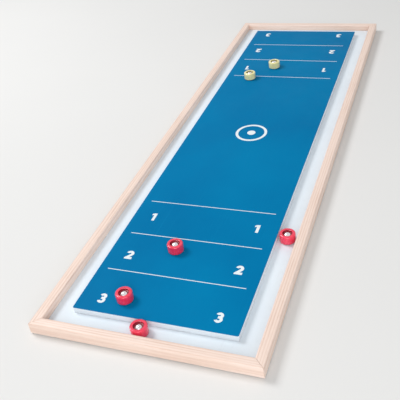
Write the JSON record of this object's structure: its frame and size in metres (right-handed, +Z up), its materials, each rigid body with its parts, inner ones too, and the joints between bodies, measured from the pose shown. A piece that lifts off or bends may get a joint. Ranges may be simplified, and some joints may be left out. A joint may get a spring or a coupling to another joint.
{
  "type": "tabletop shuffleboard",
  "caption": "Long wooden tabletop shuffleboard with a raised playing field, a gutter all round, a mitred frame and pucks that roll on caged steel balls.",
  "frame": {"origin": "on the surface the board stands on, under the middle of its outline", "axes": "+X across the board to the right, +Y along it from the near end to the far end, +Z up"},
  "size_m": [0.299, 0.971, 0.028],
  "materials": {
    "pale_wood": "satin clear varnish on pale birch",
    "white_lacquer": "white lacquer on fibreboard, satin",
    "blue_print": "printed blue laminate, satin",
    "screw_steel": "zinc plated",
    "ball_steel": "polished bearing steel",
    "red_plastic": "glossy, slightly clear red",
    "yellow_plastic": "glossy, slightly clear pale yellow",
    "foot_rubber": "matt dark rubber"
  },
  "bodies": {
    "board": {"near_rail": "pale_wood", "far_rail": "pale_wood", "left_rail": "pale_wood", "right_rail": "pale_wood", "near_left_corner_key": "pale_wood", "near_right_corner_key": "pale_wood", "far_left_corner_key": "pale_wood", "far_right_corner_key": "pale_wood", "base_panel": "white_lacquer", "playing_board": "white_lacquer", "printed_sheet": "blue_print", "board_screw_1": "screw_steel", "board_screw_2": "screw_steel", "board_screw_3": "screw_steel", "board_screw_4": "screw_steel", "board_screw_5": "screw_steel", "board_screw_6": "screw_steel", "board_screw_7": "screw_steel", "board_screw_8": "screw_steel", "near_left_foot": "foot_rubber", "near_right_foot": "foot_rubber", "middle_left_foot": "foot_rubber", "middle_right_foot": "foot_rubber", "far_left_foot": "foot_rubber", "far_right_foot": "foot_rubber"},
    "red_puck_1": {"red_puck_1_body": "red_plastic", "red_puck_1_retainer": "red_plastic"},
    "red_puck_2": {"red_puck_2_body": "red_plastic", "red_puck_2_retainer": "red_plastic"},
    "red_puck_3": {"red_puck_3_body": "red_plastic", "red_puck_3_retainer": "red_plastic"},
    "red_puck_4": {"red_puck_4_body": "red_plastic", "red_puck_4_retainer": "red_plastic"},
    "yellow_puck_1": {"yellow_puck_1_body": "yellow_plastic", "yellow_puck_1_retainer": "yellow_plastic"},
    "yellow_puck_2": {"yellow_puck_2_body": "yellow_plastic", "yellow_puck_2_retainer": "yellow_plastic"},
    "red_ball_1": {"red_puck_1_ball": "ball_steel"},
    "red_ball_2": {"red_puck_2_ball": "ball_steel"},
    "red_ball_3": {"red_puck_3_ball": "ball_steel"},
    "red_ball_4": {"red_puck_4_ball": "ball_steel"},
    "yellow_ball_1": {"yellow_puck_1_ball": "ball_steel"},
    "yellow_ball_2": {"yellow_puck_2_ball": "ball_steel"}
  },
  "joints": [
    {"name": "red_puck_1_slide", "type": "slide", "parent": "board", "child": "red_puck_1", "axis": [0, 1, 0], "range_m": [-0.1171, 0.4488]},
    {"name": "red_puck_2_slide", "type": "slide", "parent": "board", "child": "red_puck_2", "axis": [0, 1, 0], "range_m": [-0.0156, 0.5502]},
    {"name": "red_puck_3_slide", "type": "slide", "parent": "board", "child": "red_puck_3", "axis": [1, 0, 0], "range_m": [-0.1116, 0.1334]},
    {"name": "red_puck_4_slide", "type": "slide", "parent": "board", "child": "red_puck_4", "axis": [0, 1, 0], "range_m": [-0.1763, 0.7163]},
    {"name": "yellow_puck_1_slide", "type": "slide", "parent": "board", "child": "yellow_puck_1", "axis": [0, 1, 0], "range_m": [-0.0961, 0.1758]},
    {"name": "yellow_puck_2_slide", "type": "slide", "parent": "board", "child": "yellow_puck_2", "axis": [0, 1, 0], "range_m": [-0.0427, 0.2292]},
    {"name": "red_ball_1_roll", "type": "hinge", "parent": "red_puck_1", "child": "red_ball_1", "pos_m": [-0.01744, -0.31684, 0.02125], "axis": [1, 0, 0], "continuous": true},
    {"name": "red_ball_2_roll", "type": "hinge", "parent": "red_puck_2", "child": "red_ball_2", "pos_m": [-0.04709, -0.4183, 0.02125], "axis": [1, 0, 0], "continuous": true},
    {"name": "red_ball_3_roll", "type": "hinge", "parent": "red_puck_3", "child": "red_ball_3", "pos_m": [-0.0109, -0.4585, 0.01225], "axis": [0, 1, 0], "continuous": true},
    {"name": "red_ball_4_roll", "type": "hinge", "parent": "red_puck_4", "child": "red_ball_4", "pos_m": [0.1225, -0.2581, 0.01225], "axis": [1, 0, 0], "continuous": true},
    {"name": "yellow_ball_1_roll", "type": "hinge", "parent": "yellow_puck_1", "child": "yellow_ball_1", "pos_m": [-0.02354, 0.2581, 0.02125], "axis": [1, 0, 0], "continuous": true},
    {"name": "yellow_ball_2_roll", "type": "hinge", "parent": "yellow_puck_2", "child": "yellow_ball_2", "pos_m": [-0.05951, 0.2047, 0.02125], "axis": [1, 0, 0], "continuous": true}
  ],
  "couplings": [
    {"joint": "red_ball_1_roll", "follows": "red_puck_1_slide", "rad_per_m": -157.48},
    {"joint": "red_ball_2_roll", "follows": "red_puck_2_slide", "rad_per_m": -157.48},
    {"joint": "red_ball_3_roll", "follows": "red_puck_3_slide", "rad_per_m": 157.48},
    {"joint": "red_ball_4_roll", "follows": "red_puck_4_slide", "rad_per_m": -157.48},
    {"joint": "yellow_ball_1_roll", "follows": "yellow_puck_1_slide", "rad_per_m": -157.48},
    {"joint": "yellow_ball_2_roll", "follows": "yellow_puck_2_slide", "rad_per_m": -157.48}
  ]
}
